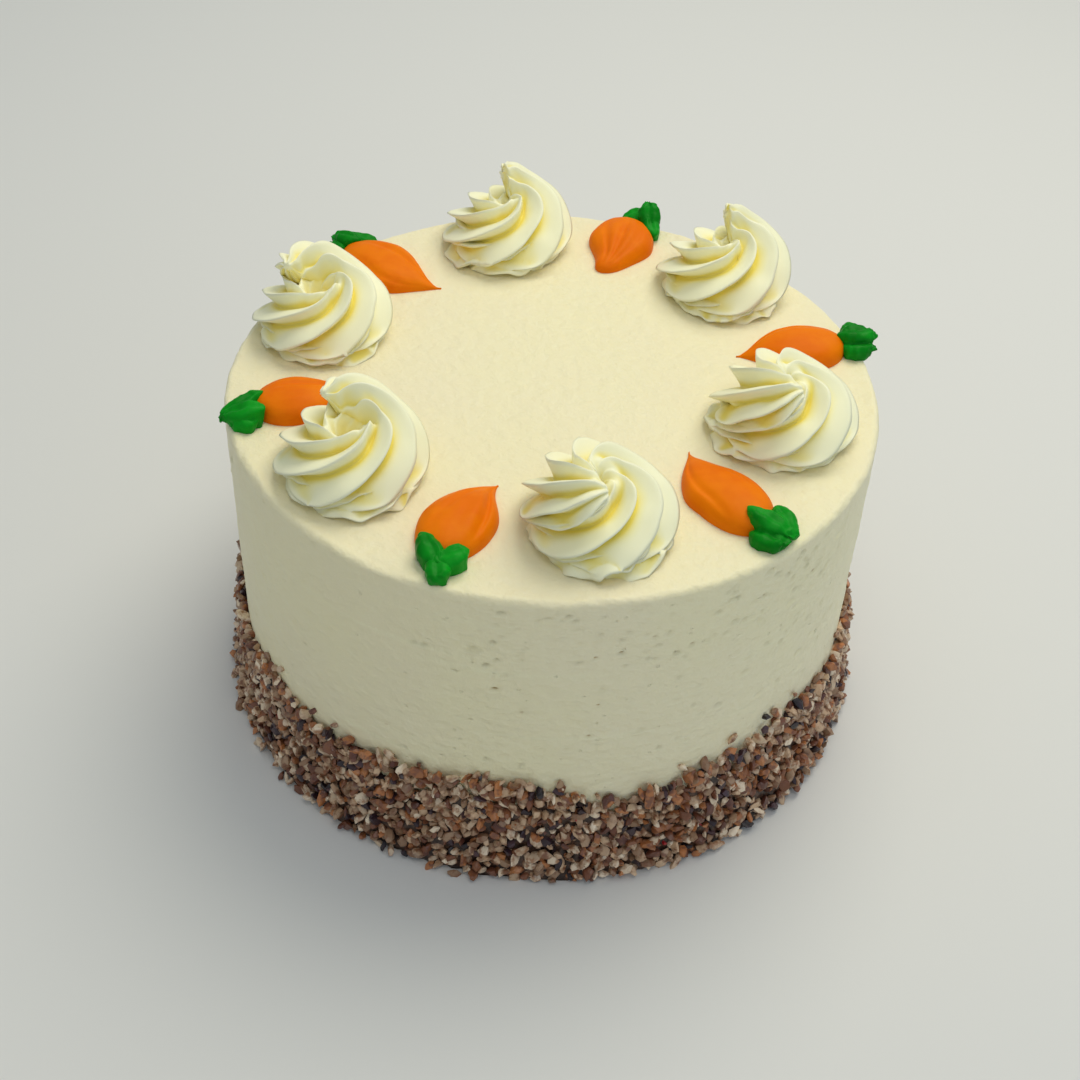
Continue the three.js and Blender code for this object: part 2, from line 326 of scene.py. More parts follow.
def bumps(tree, shader, heights):
    """Chains bump nodes of (height socket, strength, distance in metres) into the shader.
    A strength may be a socket, and a distance below 0 goes into the surface."""
    normal = None
    for height, strength, distance in heights:
        node = tree.nodes.new("ShaderNodeBump")
        if isinstance(strength, float):
            node.inputs["Strength"].default_value = strength
        else:
            tree.links.new(strength, node.inputs["Strength"])
        node.invert = distance < 0
        node.inputs["Distance"].default_value = abs(distance)
        tree.links.new(height, node.inputs["Height"])
        if normal is not None:
            tree.links.new(normal, node.inputs["Normal"])
        normal = node.outputs["Normal"]
    tree.links.new(normal, shader.inputs["Normal"])


def creamy(shader, weight, depth_mm, roughness, specular, radius=(1.0, 0.97, 0.9)):
    """Light passes a little way into icing, red furthest."""
    shader.inputs["Subsurface Weight"].default_value = weight
    shader.inputs["Subsurface Radius"].default_value = radius
    shader.inputs["Subsurface Scale"].default_value = depth_mm * MM
    shader.inputs["Roughness"].default_value = roughness
    shader.inputs["Specular IOR Level"].default_value = specular


def cake_icing():
    """Cream with faint patches and streaks, a few crumbs, and scratches and bubbles on the wall only."""
    material, tree, shader = new_material("cream_icing")
    creamy(shader, 0.5, 1.3, 0.5, 0.35)
    patches = ramp(tree, object_noise(tree, 14, 3), 0.3, 0.7)
    base = mix_colour(tree, patches, linear(244, 234, 194), linear(243, 232, 197))
    streaks = ramp(tree, object_noise(tree, 40, 4, (0.3, 0.3, 5)), 0.55, 0.9)
    base = mix_colour(tree, streaks, base, linear(247, 240, 203))
    base = mix_colour(tree, specks(tree, 130, 0.06, 0.02), base, linear(120, 92, 48))
    stain = ramp(tree, tone_value(tree), 0.45, 1.0)
    base = mix_colour(tree, stain, base, linear(190, 154, 88))
    tree.links.new(base, shader.inputs["Base Color"])
    fine = object_noise(tree, 900, 3)
    scratches = ramp(tree, object_noise(tree, 250, 4, (1, 1, 1.8)), 0.68, 0.84)
    scraped = object_noise(tree, 260, 5, (0.9, 0.9, 1.3))
    bubbles = specks(tree, 460, 0.3, 0.02)
    wall = ramp(tree, object_height(tree), (CAKE_HEIGHT - 0.8) * MM, (CAKE_HEIGHT - 3) * MM)
    bumps(tree, shader, [
        (scraped, 0.8, 0.001), (fine, 0.5, 0.0003),
        (scratches, wall, -0.0008), (bubbles, wall, -0.0004),
    ])
    return material


def piped_icing():
    """Cream with painted light: paler on the ridges as a painted highlight, and yellower in the creases
    as painted shade.
    """
    material, tree, shader = new_material("piped_cream")
    creamy(shader, 0.2, 1.4, 0.42, 0.2)
    # Painted highlight on the ridges and painted shade in the creases, mixed by the tone from how far
    # each point stands out
    ridge = ramp(tree, tone_value(tree), 0.05, 0.75)
    base = mix_colour(tree, ridge, linear(248, 230, 118), linear(253, 249, 212))
    base = mix_colour(tree, specks(tree, 170, 0.05, 0.02), base, linear(150, 112, 60))
    tree.links.new(base, shader.inputs["Base Color"])
    fine = object_noise(tree, 700, 3)
    soft = object_noise(tree, 170, 3)
    bumps(tree, shader, [(soft, 0.25, 0.0004), (fine, 0.1, 0.00015)])
    return material


def coloured_icing(name, deep, bright, roughness):
    material, tree, shader = new_material(name)
    creamy(shader, 0.08, 1.2, roughness, 0.08, (1.0, 0.8, 0.4))
    patches = ramp(tree, object_noise(tree, 90, 3), 0.3, 0.7)
    base = mix_colour(tree, patches, linear(*deep), linear(*bright))
    tree.links.new(base, shader.inputs["Base Color"])
    fine = object_noise(tree, 1500, 3)
    soft = object_noise(tree, 260, 3)
    bumps(tree, shader, [(soft, 0.3, 0.0004), (fine, 0.12, 0.0001)])
    return material


def nut_material(name, dark, pale, streak):
    """Nut that runs from dark to pale with each chip's tone, and has streaks."""
    material, tree, shader = new_material(name)
    base = mix_colour(tree, ramp(tree, tone_value(tree), 0, 1), linear(*dark), linear(*pale))
    grain = ramp(tree, object_noise(tree, 420, 4), 0.44, 0.66)
    base = mix_colour(tree, grain, base, linear(*streak))
    tree.links.new(base, shader.inputs["Base Color"])
    shader.inputs["Roughness"].default_value = 0.33
    shader.inputs["Specular IOR Level"].default_value = 0.5
    lumps = object_noise(tree, 420, 2)
    fine = object_noise(tree, 1100, 4)
    bumps(tree, shader, [(lumps, 0.4, 0.0008), (fine, 0.4, 0.0003)])
    return material


# The iced cake

CAKE_AROUND = 640

# Steps between the rows of points: behind the nuts, up the wall, over the rim's lip and on the top.
# The wall's steps start where the nuts may end, and the lip's steps end at a radius on the top.
HIDDEN_STEP = 4.0
WALL_STEP = 0.92
LIP_STEP = 0.8
TOP_STEP = 3.0
WALL_FROM = BAND_HEIGHT - 8
LIP_TO = 96
RIM_STEPS = 8

# Pits where the scraper caught the icing. Two in three lie within the spread of the front's middle, and
# the rest anywhere round the wall. Half of those at the front are high on the wall. Few are stained.
PIT_COUNT = 260
PIT_MIDDLE = math.radians(-66)
PIT_SPREAD = 0.62
PIT_LOWEST = 48
HIGH_PIT_LOWEST = 96
PIT_HIGHEST = 117
PITS_TO_A_STAIN = 11


def band_edge(angle):
    """Height of the nut band's top edge at an angle round the cake."""
    return BAND_HEIGHT + sum(size * np.sin(count * angle + turn) for count, size, turn in BAND_WAVES)


def bed_depth(share):
    """How far the nuts stand out from the icing, from the foot (0) to the top edge (1)."""
    return BED_THICKNESS + (BED_FOOT - BED_THICKNESS) * (1 - share) ** 2


def wall_pits(rng):
    """The small pits, each as (angle, height, width, depth)."""
    pits = []
    for i in range(PIT_COUNT):
        spread = PIT_SPREAD if i % 3 else math.pi
        angle = PIT_MIDDLE + spread * (2 * rng.random() - 1)
        lowest = HIGH_PIT_LOWEST if i % 3 == 1 else PIT_LOWEST
        height = lowest + (PIT_HIGHEST - lowest) * rng.random()
        pits.append((angle, height, 0.6 + 0.6 * rng.random() ** 2, 0.4 + 0.7 * rng.random()))
    return pits


def dent(across, up, wide, tall):
    """1 in the middle of an oval and 0 away from it."""
    return np.exp(-((across / wide) ** 2) - ((up / tall) ** 2))


def pitted(push, angle, height, pits):
    """Adds the pits to how far the wall stands out. Also gives how stained each point is."""
    stain = np.zeros_like(push)
    for i, (turn, at, width, depth) in enumerate(pits):
        across = np.angle(np.exp(1j * (angle - turn))) * CAKE_RADIUS
        up = height - at
        hole = dent(across, up, 1.5 * width, 0.6 * width)
        lip = dent(across, up + 1.3 * width, 1.7 * width, 0.6 * width)
        push = push + depth * (0.45 * lip - hole) * (height < WALL_TOP)
        if i % PITS_TO_A_STAIN == 0:
            stain = np.maximum(stain, hole)
    return push, stain


def cake_rows():
    """Radius and height of the rows of points: up the wall, over the rim and in to the middle."""
    rim_edge = CAKE_RADIUS - RIM_ROUNDING
    rows = [(CAKE_RADIUS, height) for height in np.arange(0, WALL_FROM, HIDDEN_STEP)]
    rows += [(CAKE_RADIUS, height) for height in np.arange(WALL_FROM, WALL_TOP, WALL_STEP)]
    for i in range(RIM_STEPS + 1):
        turn = math.pi / 2 * i / RIM_STEPS
        radius = CAKE_RADIUS - RIM_ROUNDING * (1 - math.cos(turn))
        rows.append((radius, WALL_TOP + RIM_ROUNDING * math.sin(turn)))
    rows += [(radius, CAKE_HEIGHT) for radius in np.arange(rim_edge - LIP_STEP, LIP_TO, -LIP_STEP)]
    rows += [(radius, CAKE_HEIGHT) for radius in np.arange(LIP_TO, TOP_STEP, -TOP_STEP)]
    return np.array(rows)


def cake_angles():
    """Angles round the cake, closer together on the front half than on the back half."""
    share = np.arange(CAKE_AROUND) / CAKE_AROUND
    return 2 * np.pi * share - 0.3 * np.cos(2 * np.pi * share)


def iced_cake(material):
    rng = np.random.default_rng(5)
    rows = cake_rows()
    angle = np.repeat(cake_angles()[None, :], len(rows), 0)
    radius = np.repeat(rows[:, :1], CAKE_AROUND, 1)
    height = np.repeat(rows[:, 1:], CAKE_AROUND, 1)
    even = around_axis(angle, radius, height).reshape(-1, 3)

    def noise(scale, seed, stretch=(1, 1, 1)):
        return soft_noise(even * stretch, scale, seed).reshape(radius.shape)

    on_wall = smoothstep((radius - (CAKE_RADIUS - 2 * RIM_ROUNDING)) / (2 * RIM_ROUNDING))
    on_top = 1 - smoothstep((CAKE_HEIGHT - height) / RIM_ROUNDING)
    push = 0.5 * noise(42, 1) + 0.07 * noise(3.4, 2, (0.5, 0.5, 1)) + 0.13 * noise(2.2, 3)
    push = push + 0.18 * noise(9, 3)
    push, stain = pitted(push, angle, height, wall_pits(rng))
    from_edge = (radius - (CAKE_RADIUS - 1.8)) / 1.9
    lip = np.exp(-(from_edge ** 2)) * (height > WALL_TOP)
    ragged = np.maximum(noise(13, 2), -0.4) + 0.7 * np.maximum(noise(4, 1), 0)
    spatula = noise(7, 1, (0.25, 1, 1)) * 0.08
    rise = on_top * (0.5 * lip * ragged + 0.3 * noise(34, 2) + 0.06 * noise(5, 3) + spatula)
    radius = radius + on_wall * push + 0.35 * lip * noise(5, 3)
    height = height + rise
    points = around_axis(angle, radius, height).reshape(-1, 3)
    points = np.vstack([points, (0, 0, 0), (0, 0, CAKE_HEIGHT + float(rise[-1].mean()))])
    tones = np.append(stain.ravel(), (0, 0))
    piece = mesh_object("iced_cake", points, loft_faces(len(rows), CAKE_AROUND), material, tones=tones)
    finish_piece(piece, "icing", "cake")


# Chopped nuts

CHIP_SHAPES = 30
CHIP_CORNERS = 18
CHIP_SPREADINGS = 12
CHIP_CUTS = 3
CHIP_TUMBLE = 0.75
CHIP_SHARP_EDGE = math.radians(30)

# Chips are laid in columns and rows, in two layers of shares of the bed's depth. Stray ones lie above.
NUT_COLUMNS = 230
NUT_ROWS = 12
NUT_LAYERS = ((0.35, 0.6), (0.68, 1.0))
STRAY_CHIPS = 60

# The rough bed behind the chips: points round it, rows, and how pale it is.
# Its colours are nut colours darkened as painted shade in the gaps between the chips.
BED_AROUND = 420
BED_ROWS = 26
BED_SHADE_TONE = 0.3
BED_SHADED_COLOURS = ((40, 25, 20), (78, 52, 38), (94, 66, 50))

# The one long sliver that stands up at the front, the height and the distance out being its middle's
SLIVER_ANGLE = math.radians(-71.0)
SLIVER_HEIGHT = 36.0
SLIVER_OUT = 3.6
SLIVER_LENGTH = 13.0
SLIVER_WIDTH = 4.2
SLIVER_TONE = 0.8

# Piece, material, share of the chips, size against the others, and dark, pale and streak colours
NUT_KINDS = (
    ("nut_kernels", "nut_kernel", 0.36, 1.0, (142, 108, 82), (214, 180, 145), (128, 84, 58)),
    ("nut_pale_kernels", "nut_pale_kernel", 0.24, 0.95, (198, 170, 140), (242, 221, 193), (164, 118, 86)),
    ("nut_skins", "nut_skin", 0.29, 1.0, (90, 50, 38), (190, 122, 72), (126, 78, 56)),
    ("nut_dark_bits", "nut_dark", 0.105, 0.9, (22, 15, 20), (78, 50, 56), (52, 34, 42)),
    ("nut_red_bits", "nut_red", 0.005, 0.5, (130, 10, 22), (190, 20, 34), (170, 16, 26)),
)


def chip_shape(rng):
    """A chopped piece of nut, about one unit long: a rounded grain with a few flat cuts."""
    points = rng.normal(size=(CHIP_CORNERS, 3))
    for _ in range(CHIP_SPREADINGS):
        points /= np.linalg.norm(points, axis=1)[:, None]
        apart = points[:, None] - points[None]
        near = (apart ** 2).sum(-1)[..., None] + 0.05
        points = points + 0.06 * (apart / near ** 2).sum(1) / CHIP_CORNERS
    reach = 0.5 * (0.9 + 0.2 * rng.random((CHIP_CORNERS, 1)))
    points *= reach / np.linalg.norm(points, axis=1)[:, None]
    for _ in range(CHIP_CUTS):
        cut = rng.normal(size=3)
        cut /= np.linalg.norm(cut)
        over = points @ cut - (0.2 + 0.2 * rng.random())
        points = points - np.maximum(over, 0)[:, None] * cut
    points *= (1.06, 0.54 + 0.24 * rng.random(), 0.42 + 0.18 * rng.random())
    mesh = bmesh.new()
    for point in points:
        mesh.verts.new(point)
    made = bmesh.ops.convex_hull(mesh, input=mesh.verts)
    spare = [v for v in made["geom_interior"] if isinstance(v, bmesh.types.BMVert)]
    bmesh.ops.delete(mesh, geom=spare, context="VERTS")
    bmesh.ops.triangulate(mesh, faces=mesh.faces)
    mesh.verts.index_update()
    corners = np.array([v.co[:] for v in mesh.verts])
    faces = np.array([[v.index for v in f.verts] for f in mesh.faces])
    mesh.free()
    return corners, faces


def turn_matrices(rng, count):
    """Random turns: any heading in the plane of the band, then tipped and rolled."""
    heading = rng.random(count) * 2 * np.pi
    tip = rng.normal(size=count) * CHIP_TUMBLE
    roll = rng.normal(size=count) * CHIP_TUMBLE
    zero, one = np.zeros(count), np.ones(count)
    c, s = np.cos(heading), np.sin(heading)
    about_z = np.stack([c, -s, zero, s, c, zero, zero, zero, one], -1).reshape(-1, 3, 3)
    c, s = np.cos(tip), np.sin(tip)
    about_y = np.stack([c, zero, s, zero, one, zero, -s, zero, c], -1).reshape(-1, 3, 3)
    c, s = np.cos(roll), np.sin(roll)
    about_x = np.stack([one, zero, zero, zero, c, -s, zero, s, c], -1).reshape(-1, 3, 3)
    return about_z @ about_y @ about_x


def nut_places(rng):
    """Where each chip lies: angle, height, distance out from the icing, and length."""
    angle, height, out, size = [], [], [], []
    for low, high in NUT_LAYERS:
        column, row = np.meshgrid(np.arange(NUT_COLUMNS), np.arange(NUT_ROWS))
        column, row = column.ravel(), row.ravel()
        count = len(column)
        turn = (column + 0.5 * (row % 2) + rng.random(count) * 0.9) / NUT_COLUMNS * 2 * np.pi
        share = (row + rng.random(count)) / NUT_ROWS * 0.98 + 0.02
        angle.append(turn)
        height.append(share * (band_edge(turn) + rng.normal(size=count) * 1.3 - 1.0))
        out.append(bed_depth(share) * (low + (high - low) * rng.random(count)))
        size.append(4.0 + 2.8 * rng.random(count) ** 1.3)
    turn = rng.random(STRAY_CHIPS) * 2 * np.pi
    angle.append(turn)
    height.append(band_edge(turn) + rng.random(STRAY_CHIPS) ** 2 * 6)
    out.append(np.full(STRAY_CHIPS, 0.9))
    size.append(3.2 + 2.0 * rng.random(STRAY_CHIPS))
    return [np.concatenate(values) for values in (angle, height, out, size)]


def stood_on_wall(local, angle, height, out):
    """Local points (along, up, out) set on the cake's wall, and kept above the table."""
    c, s = math.cos(angle), math.sin(angle)
    radius = CAKE_RADIUS + out + local[:, 2]
    along = local[:, 0]
    up = np.maximum(height + local[:, 1], 0)
    return np.stack([radius * c - along * s, radius * s + along * c, up], -1)


def nut_bed(material):
    """The rough packed nuts behind the chips, coloured dark as painted shade in the gaps between them.
    Near its ragged top edge it sinks into the icing.
    """
    turns = np.arange(BED_AROUND) * 2 * np.pi / BED_AROUND
    angle, share = np.meshgrid(turns, np.arange(BED_ROWS) / (BED_ROWS - 1) * 0.92)
    height = share * band_edge(angle)
    spot = around_axis(angle, CAKE_RADIUS, height).reshape(-1, 3)

    def noise(scale, seed):
        return soft_noise(spot, scale, seed).reshape(angle.shape)

    rough = noise(2.4, 1) * 0.9 + noise(6, 2) * 0.6
    sunk = 5.0 * smoothstep((share - 0.62 + 0.25 * noise(9, 3)) / 0.3)
    radius = CAKE_RADIUS + 0.62 * bed_depth(share) + rough - sunk
    radius = np.maximum(radius, CAKE_RADIUS - 3)
    points, faces = loft(around_axis(angle, radius, height))
    # A low tone on dark nut colours: painted shade between the chips
    tones = np.full(len(points), BED_SHADE_TONE)
    piece = mesh_object("nut_bed", points, faces, material, tones=tones)
    finish_piece(piece, "nuts", "cake")


def long_sliver(shape):
    """The sliver as a chip of (points, triangles, tone), narrower at its upper end."""
    corners, triangles = shape
    local = corners[:, [1, 0, 2]] * (SLIVER_WIDTH / 0.6, SLIVER_LENGTH, SLIVER_WIDTH / 0.6)
    local[:, 0] *= 0.75 - 0.5 * local[:, 1] / SLIVER_LENGTH
    points = stood_on_wall(local, SLIVER_ANGLE, SLIVER_HEIGHT, SLIVER_OUT)
    return points, triangles, SLIVER_TONE


def nut_piece(name, chips, material):
    """All chips of one kind, each given as (points, triangles, tone), as one piece."""
    faces, offset = [], 0
    for points, triangles, _ in chips:
        faces.append(triangles + offset)
        offset += len(points)
    tones = np.concatenate([np.full(len(points), tone) for points, _, tone in chips])
    points = np.vstack([points for points, _, _ in chips])
    piece = mesh_object(name, points, np.vstack(faces).tolist(), material, tones=tones)
    piece.data.set_sharp_from_angle(angle=CHIP_SHARP_EDGE)
    finish_piece(piece, "nuts", "cake")


def chopped_nuts():
    rng = np.random.default_rng(11)
    shapes = [chip_shape(rng) for _ in range(CHIP_SHAPES)]
    angle, height, out, size = nut_places(rng)
    count = len(angle)
    turns = turn_matrices(rng, count)
    kind = rng.random(count)
    tone = rng.random(count)
    shape_of = rng.integers(0, CHIP_SHAPES, count)
    start = 0.0
    for name, material, share, scale, *colours in NUT_KINDS:
        chips = []
        for i in np.flatnonzero((kind >= start) & (kind < start + share)):
            corners, triangles = shapes[shape_of[i]]
            local = corners @ turns[i].T * size[i] * scale
            chips.append((stood_on_wall(local, angle[i], height[i], out[i]), triangles, tone[i]))
        start += share
        if name == "nut_skins":
            chips.append(long_sliver(shapes[0]))
        nut_piece(name, chips, nut_material(material, *colours))


# Rosettes

# A rosette is a rope of icing piped anticlockwise, seen from above: a low lap on the icing, a main
# lap on that, and a last stretch that climbs over its own start and ends in a tail. The keys give,
# against degrees of turn, the rope's outer reach, crest and inner edge from the rosette's axis, and
# the heights of its top, its belt, its foot and of the belt on the inner side, which is the pit.
CLOSED = {
    "outer": ((0, 14), (25, 23), (330, 24.5), (400, 23.5), (450, 20), (480, 14)),
    "crest": ((0, 8), (330, 9), (420, 10), (480, 11)),
    "inner": ((0, 0.4), (400, 0.4), (450, 2), (480, 7)),
    "top": ((0, 15), (40, 18), (180, 22), (330, 26), (400, 29), (450, 29), (480, 26)),
    "belt": ((0, 5), (330, 5), (380, 8), (430, 14), (480, 23)),
    "pit": ((0, 12), (180, 15), (330, 17), (400, 19), (480, 23)),
    "foot": ((0, 1), (300, 1), (360, 3), (420, 9), (480, 20)),
}
BLADE = {
    "outer": ((0, 14), (25, 23), (330, 24.2), (400, 23.5), (450, 19), (480, 12)),
    "crest": ((0, 8), (330, 8), (400, 9), (450, 8), (480, 5)),
    "inner": CLOSED["inner"],
    "top": ((0, 15), (40, 17), (180, 20), (330, 23), (400, 26), (450, 30), (480, 32)),
    "belt": ((0, 5), (330, 5), (380, 7), (430, 13), (480, 24)),
    "pit": ((0, 8), (180, 10), (330, 12), (400, 15), (480, 26)),
    "foot": ((0, 1), (300, 1), (360, 2), (420, 6), (450, 12), (480, 22)),
}
OPEN = {
    "outer": ((0, 14), (25, 23), (330, 24.2), (400, 23.5), (450, 19.5), (480, 13)),
    "crest": ((0, 9), (330, 10), (400, 11), (450, 11.5), (480, 11)),
    "inner": ((0, 3), (330, 3.5), (400, 4), (450, 6.5), (480, 9.5)),
    "top": ((0, 15), (40, 18), (180, 21), (330, 24), (400, 28), (450, 28.5), (480, 26)),
    "belt": ((0, 5), (330, 5), (380, 7), (430, 14), (480, 23.5)),
    "pit": ((0, 6), (180, 6), (330, 6), (400, 12), (450, 18), (480, 23.5)),
    "foot": ((0, 1), (300, 1), (360, 2), (420, 6), (450, 13), (480, 22)),
}

# The low lap hardly changes on its way round, so its curves have one key. It adds its own outer reach
# and top.
LOW_LAP = {
    "crest": ((0, 12),),
    "inner": ((0, 3),),
    "belt": ((0, 2.2),),
    "pit": ((0, 3),),
    "foot": ((0, -2),),
}
LOW_LAP_STEPS = 170
LOW_LAP_DEPTH = 0.4

# How much shallower the ridges get on the inner side
SMOOTH_INSIDE = 0.9
SMOOTH_INSIDE_LAST = 0.4

# Radius and height up the filled middle of a rosette
CORE = ((10, 0), (9, 3), (7, 7), (5, 9.5))
CORE_AROUND = 24

# Rounds of averaging between neighbours: for the seams, for the wide form that ridges stand out from,
# and for the tones of painted highlight on the ridges and painted shade in the creases
SEAM_ROUNDS = 2
WIDE_ROUNDS = 14
PAINTED_SHADING_ROUNDS = 3

# Number, polar angle and radius on the cake, form, bearing of the rope's end, phase of the ridges,
# bearing of the side where the low lap shows and how much that lap is folded
ROSETTES = (
    (1, 162.9, 84.0, OPEN, 175, 10, -60, 0.2),
    (2, 102.9, 87.0, BLADE, 110, 0, -125, 1.0),
    (3, 46.1, 86.0, BLADE, 100, 20, -85, 0.0),
    (4, -16.5, 77.5, CLOSED, 285, 5, -165, 0.2),
    (5, -78.8, 75.5, CLOSED, 280, 15, -60, 0.3),
    (6, -139.9, 80.5, OPEN, 140, 0, -65, 0.4),
)


def rope_section(form, turned, bearing, phase, depth, smooth_inside, swell=1.0, fray=0, rng=None):
    """One ring of the rope. The ridges twist more slowly than the rope goes round."""
    keys = ("outer", "crest", "inner", "top", "belt", "foot", "pit")
    outer, crest, inner, top, belt, foot, pit = [keyed(form[key], turned) for key in keys]
    step = np.arange(ROPE_AROUND) * 2 * np.pi / ROPE_AROUND
    between = (step * RIDGES / (2 * np.pi)) % 1
    steep_side = smoothstep(between / STEEP) ** 0.6
    long_side = np.clip((1 - between) / (1 - STEEP), 0, 1) ** 0.8
    groove = np.where(between < STEEP, steep_side, long_side)
    ridge = 1 - groove
    angle = TWIST * bearing - step + phase
    inward = smoothstep(-np.cos(angle) * 1.6)
    outward = smoothstep(np.cos(angle) * 1.2)
    depth = depth * (1 - smooth_inside * inward) * (1 + 0.2 * outward)
    reach = swell * (1 - depth * groove)
    reach = reach * (1 + 0.03 * np.sin(3 * bearing + 2 * angle))
    if fray > 0:
        reach = reach * (1 - fray * rng.random(ROPE_AROUND) * (ridge > 0.75))
    angle = angle - LEAN * (reach - 0.8)
    across, up = np.cos(angle), np.sin(angle)
    flare = 1 + 0.1 * ridge ** 2 * np.clip(across, 0, 1) ** 4 * (up < 0.5)
    middle = belt + (pit - belt) * smoothstep(-across * 1.3)
    x = crest + reach * flare * across * np.where(across > 0, outer - crest, crest - inner)
    z = middle + reach * up * np.where(up > 0, top - middle, middle - foot)
    return around_axis(bearing, x, np.maximum(z, 0))


def rope(form, start, first, last, phase, rng, frayed=False):
    """A stretch of rope from one turn to another. It narrows at its end, or swells and then frays."""
    rings = []
    steps = int(round((last - first) / ROPE_STEP))
    inside = SMOOTH_INSIDE_LAST if frayed else SMOOTH_INSIDE
    for i in range(steps + 1):
        turned = first + (last - first) * i / steps
        bearing = math.radians(start + turned)
        if frayed:
            swell = 0.88 + 0.12 * float(smoothstep((turned - first) / 12))
            fray = 0.3 * float(smoothstep((turned - last + 45) / 45))
        else:
            swell = 1 - 0.12 * float(smoothstep((turned - LAP) / (last - LAP)))
            fray = 0
        rings.append(rope_section(form, turned, bearing, phase, RIDGE_DEPTH, inside, swell, fray, rng))
    return loft(rings)


def torn_lap(shown, phase, fold, seed):
    """The low lap under a rosette. It reaches furthest, thin and torn, on the side where it is shown.
    Fold makes it higher and more crumpled."""
    rings = []
    for i in range(LOW_LAP_STEPS + 1):
        bearing = shown - math.pi * 0.95 + 1.9 * math.pi * i / LOW_LAP_STEPS
        reach = 3.6 * math.exp(-(((bearing - shown) / 0.95) ** 2))
        form = {**LOW_LAP, "outer": ((0, 21.5 + reach),), "top": ((0, 7 + 4 * fold),)}
        rings.append(rope_section(form, 0, bearing, phase + 0.35, LOW_LAP_DEPTH, SMOOTH_INSIDE))
    points, faces = loft(rings)
    from_axis = np.linalg.norm(points[:, :2], axis=1, keepdims=True)
    edge = smoothstep((from_axis - 17) / 6)
    tear = soft_shift(points + seed * 53, 3.2 + 2 * fold)
    points = points + edge * tear * (1.3, 1.3, 1.6) * (1 + 0.7 * fold)
    points[:, 2] = np.maximum(points[:, 2], 0)
    return points, faces


def rosette_core():
    turn = np.linspace(0, 2 * np.pi, CORE_AROUND, endpoint=False)
    return loft([around_axis(turn, radius, np.full(CORE_AROUND, height)) for radius, height in CORE])


def soften_seams_and_paint_shading(piece):
    """Softens the seams. Then gives each point a tone from how far it stands out from its neighbours:
    ridges near 1, creases near 0, for a painted highlight on the ridges and painted shade in the creases."""
    mesh = piece.data
    count = len(mesh.vertices)
    place = vertex_values(mesh, "co")
    normal = vertex_values(mesh, "normal")
    a, b = edge_ends(mesh)
    degree = np.bincount(a, minlength=count) + np.bincount(b, minlength=count)

    def spread(values):
        total = np.zeros_like(values)
        np.add.at(total, a, values[b])
        np.add.at(total, b, values[a])
        return total / np.maximum(degree, 1)[:, None]

    for _ in range(SEAM_ROUNDS):
        place = 0.5 * place + 0.5 * spread(place)
    mesh.vertices.foreach_set("co", place.ravel())
    mesh.update()
    wide = place
    for _ in range(WIDE_ROUNDS):
        wide = spread(wide)
    stand = ((place - wide) * normal).sum(1) / MM
    for _ in range(PAINTED_SHADING_ROUNDS):
        stand = 0.5 * stand + 0.5 * spread(stand[:, None])[:, 0]
    # The tone paints highlight on the ridges and shade in the creases
    set_tones(mesh, np.clip(0.45 + 0.8 * stand, 0, 1))


def rosette(number, polar, radius, form, end, phase, shown, fold, material):
    rng = np.random.default_rng(100 + number)
    start = end - ROPE_END
    turn = math.radians(phase)
    parts = [
        rope(form, start, 0, LAP + 15, turn, rng),
        rope(form, start, LAP - 12, ROPE_END, turn, rng, frayed=True),
        torn_lap(math.radians(shown), turn, fold, number),
        rosette_core(),
    ]
    piece = united(f"rosette_{number}_piped", parts, material)
    place = vertex_values(piece.data, "co")
    bearing = math.radians(polar)
    place += np.array([radius * math.cos(bearing), radius * math.sin(bearing), CAKE_HEIGHT - 0.3]) * MM
    place += 0.25 * MM * soft_shift(place / MM, 6)
    piece.data.vertices.foreach_set("co", place.ravel())
    piece.data.update()
    soften_seams_and_paint_shading(piece)
    finish_piece(piece, "piped_icing", f"rosette_{number}")


# Carrots

CARROT_STATIONS = 64
CARROT_AROUND = 48
LEAF_STATIONS = 30
LEAF_AROUND = 26
LEAF_THICKNESS = 5.0
LEAF_SUNK = 0.5

# Size of a leaf's section against its width, from its round start to its point
LEAF_SIZES = ((0, 0.1), (0.06, 0.45), (0.2, 0.85), (0.4, 1.06), (0.65, 0.98), (0.84, 0.7), (1, 0.2))

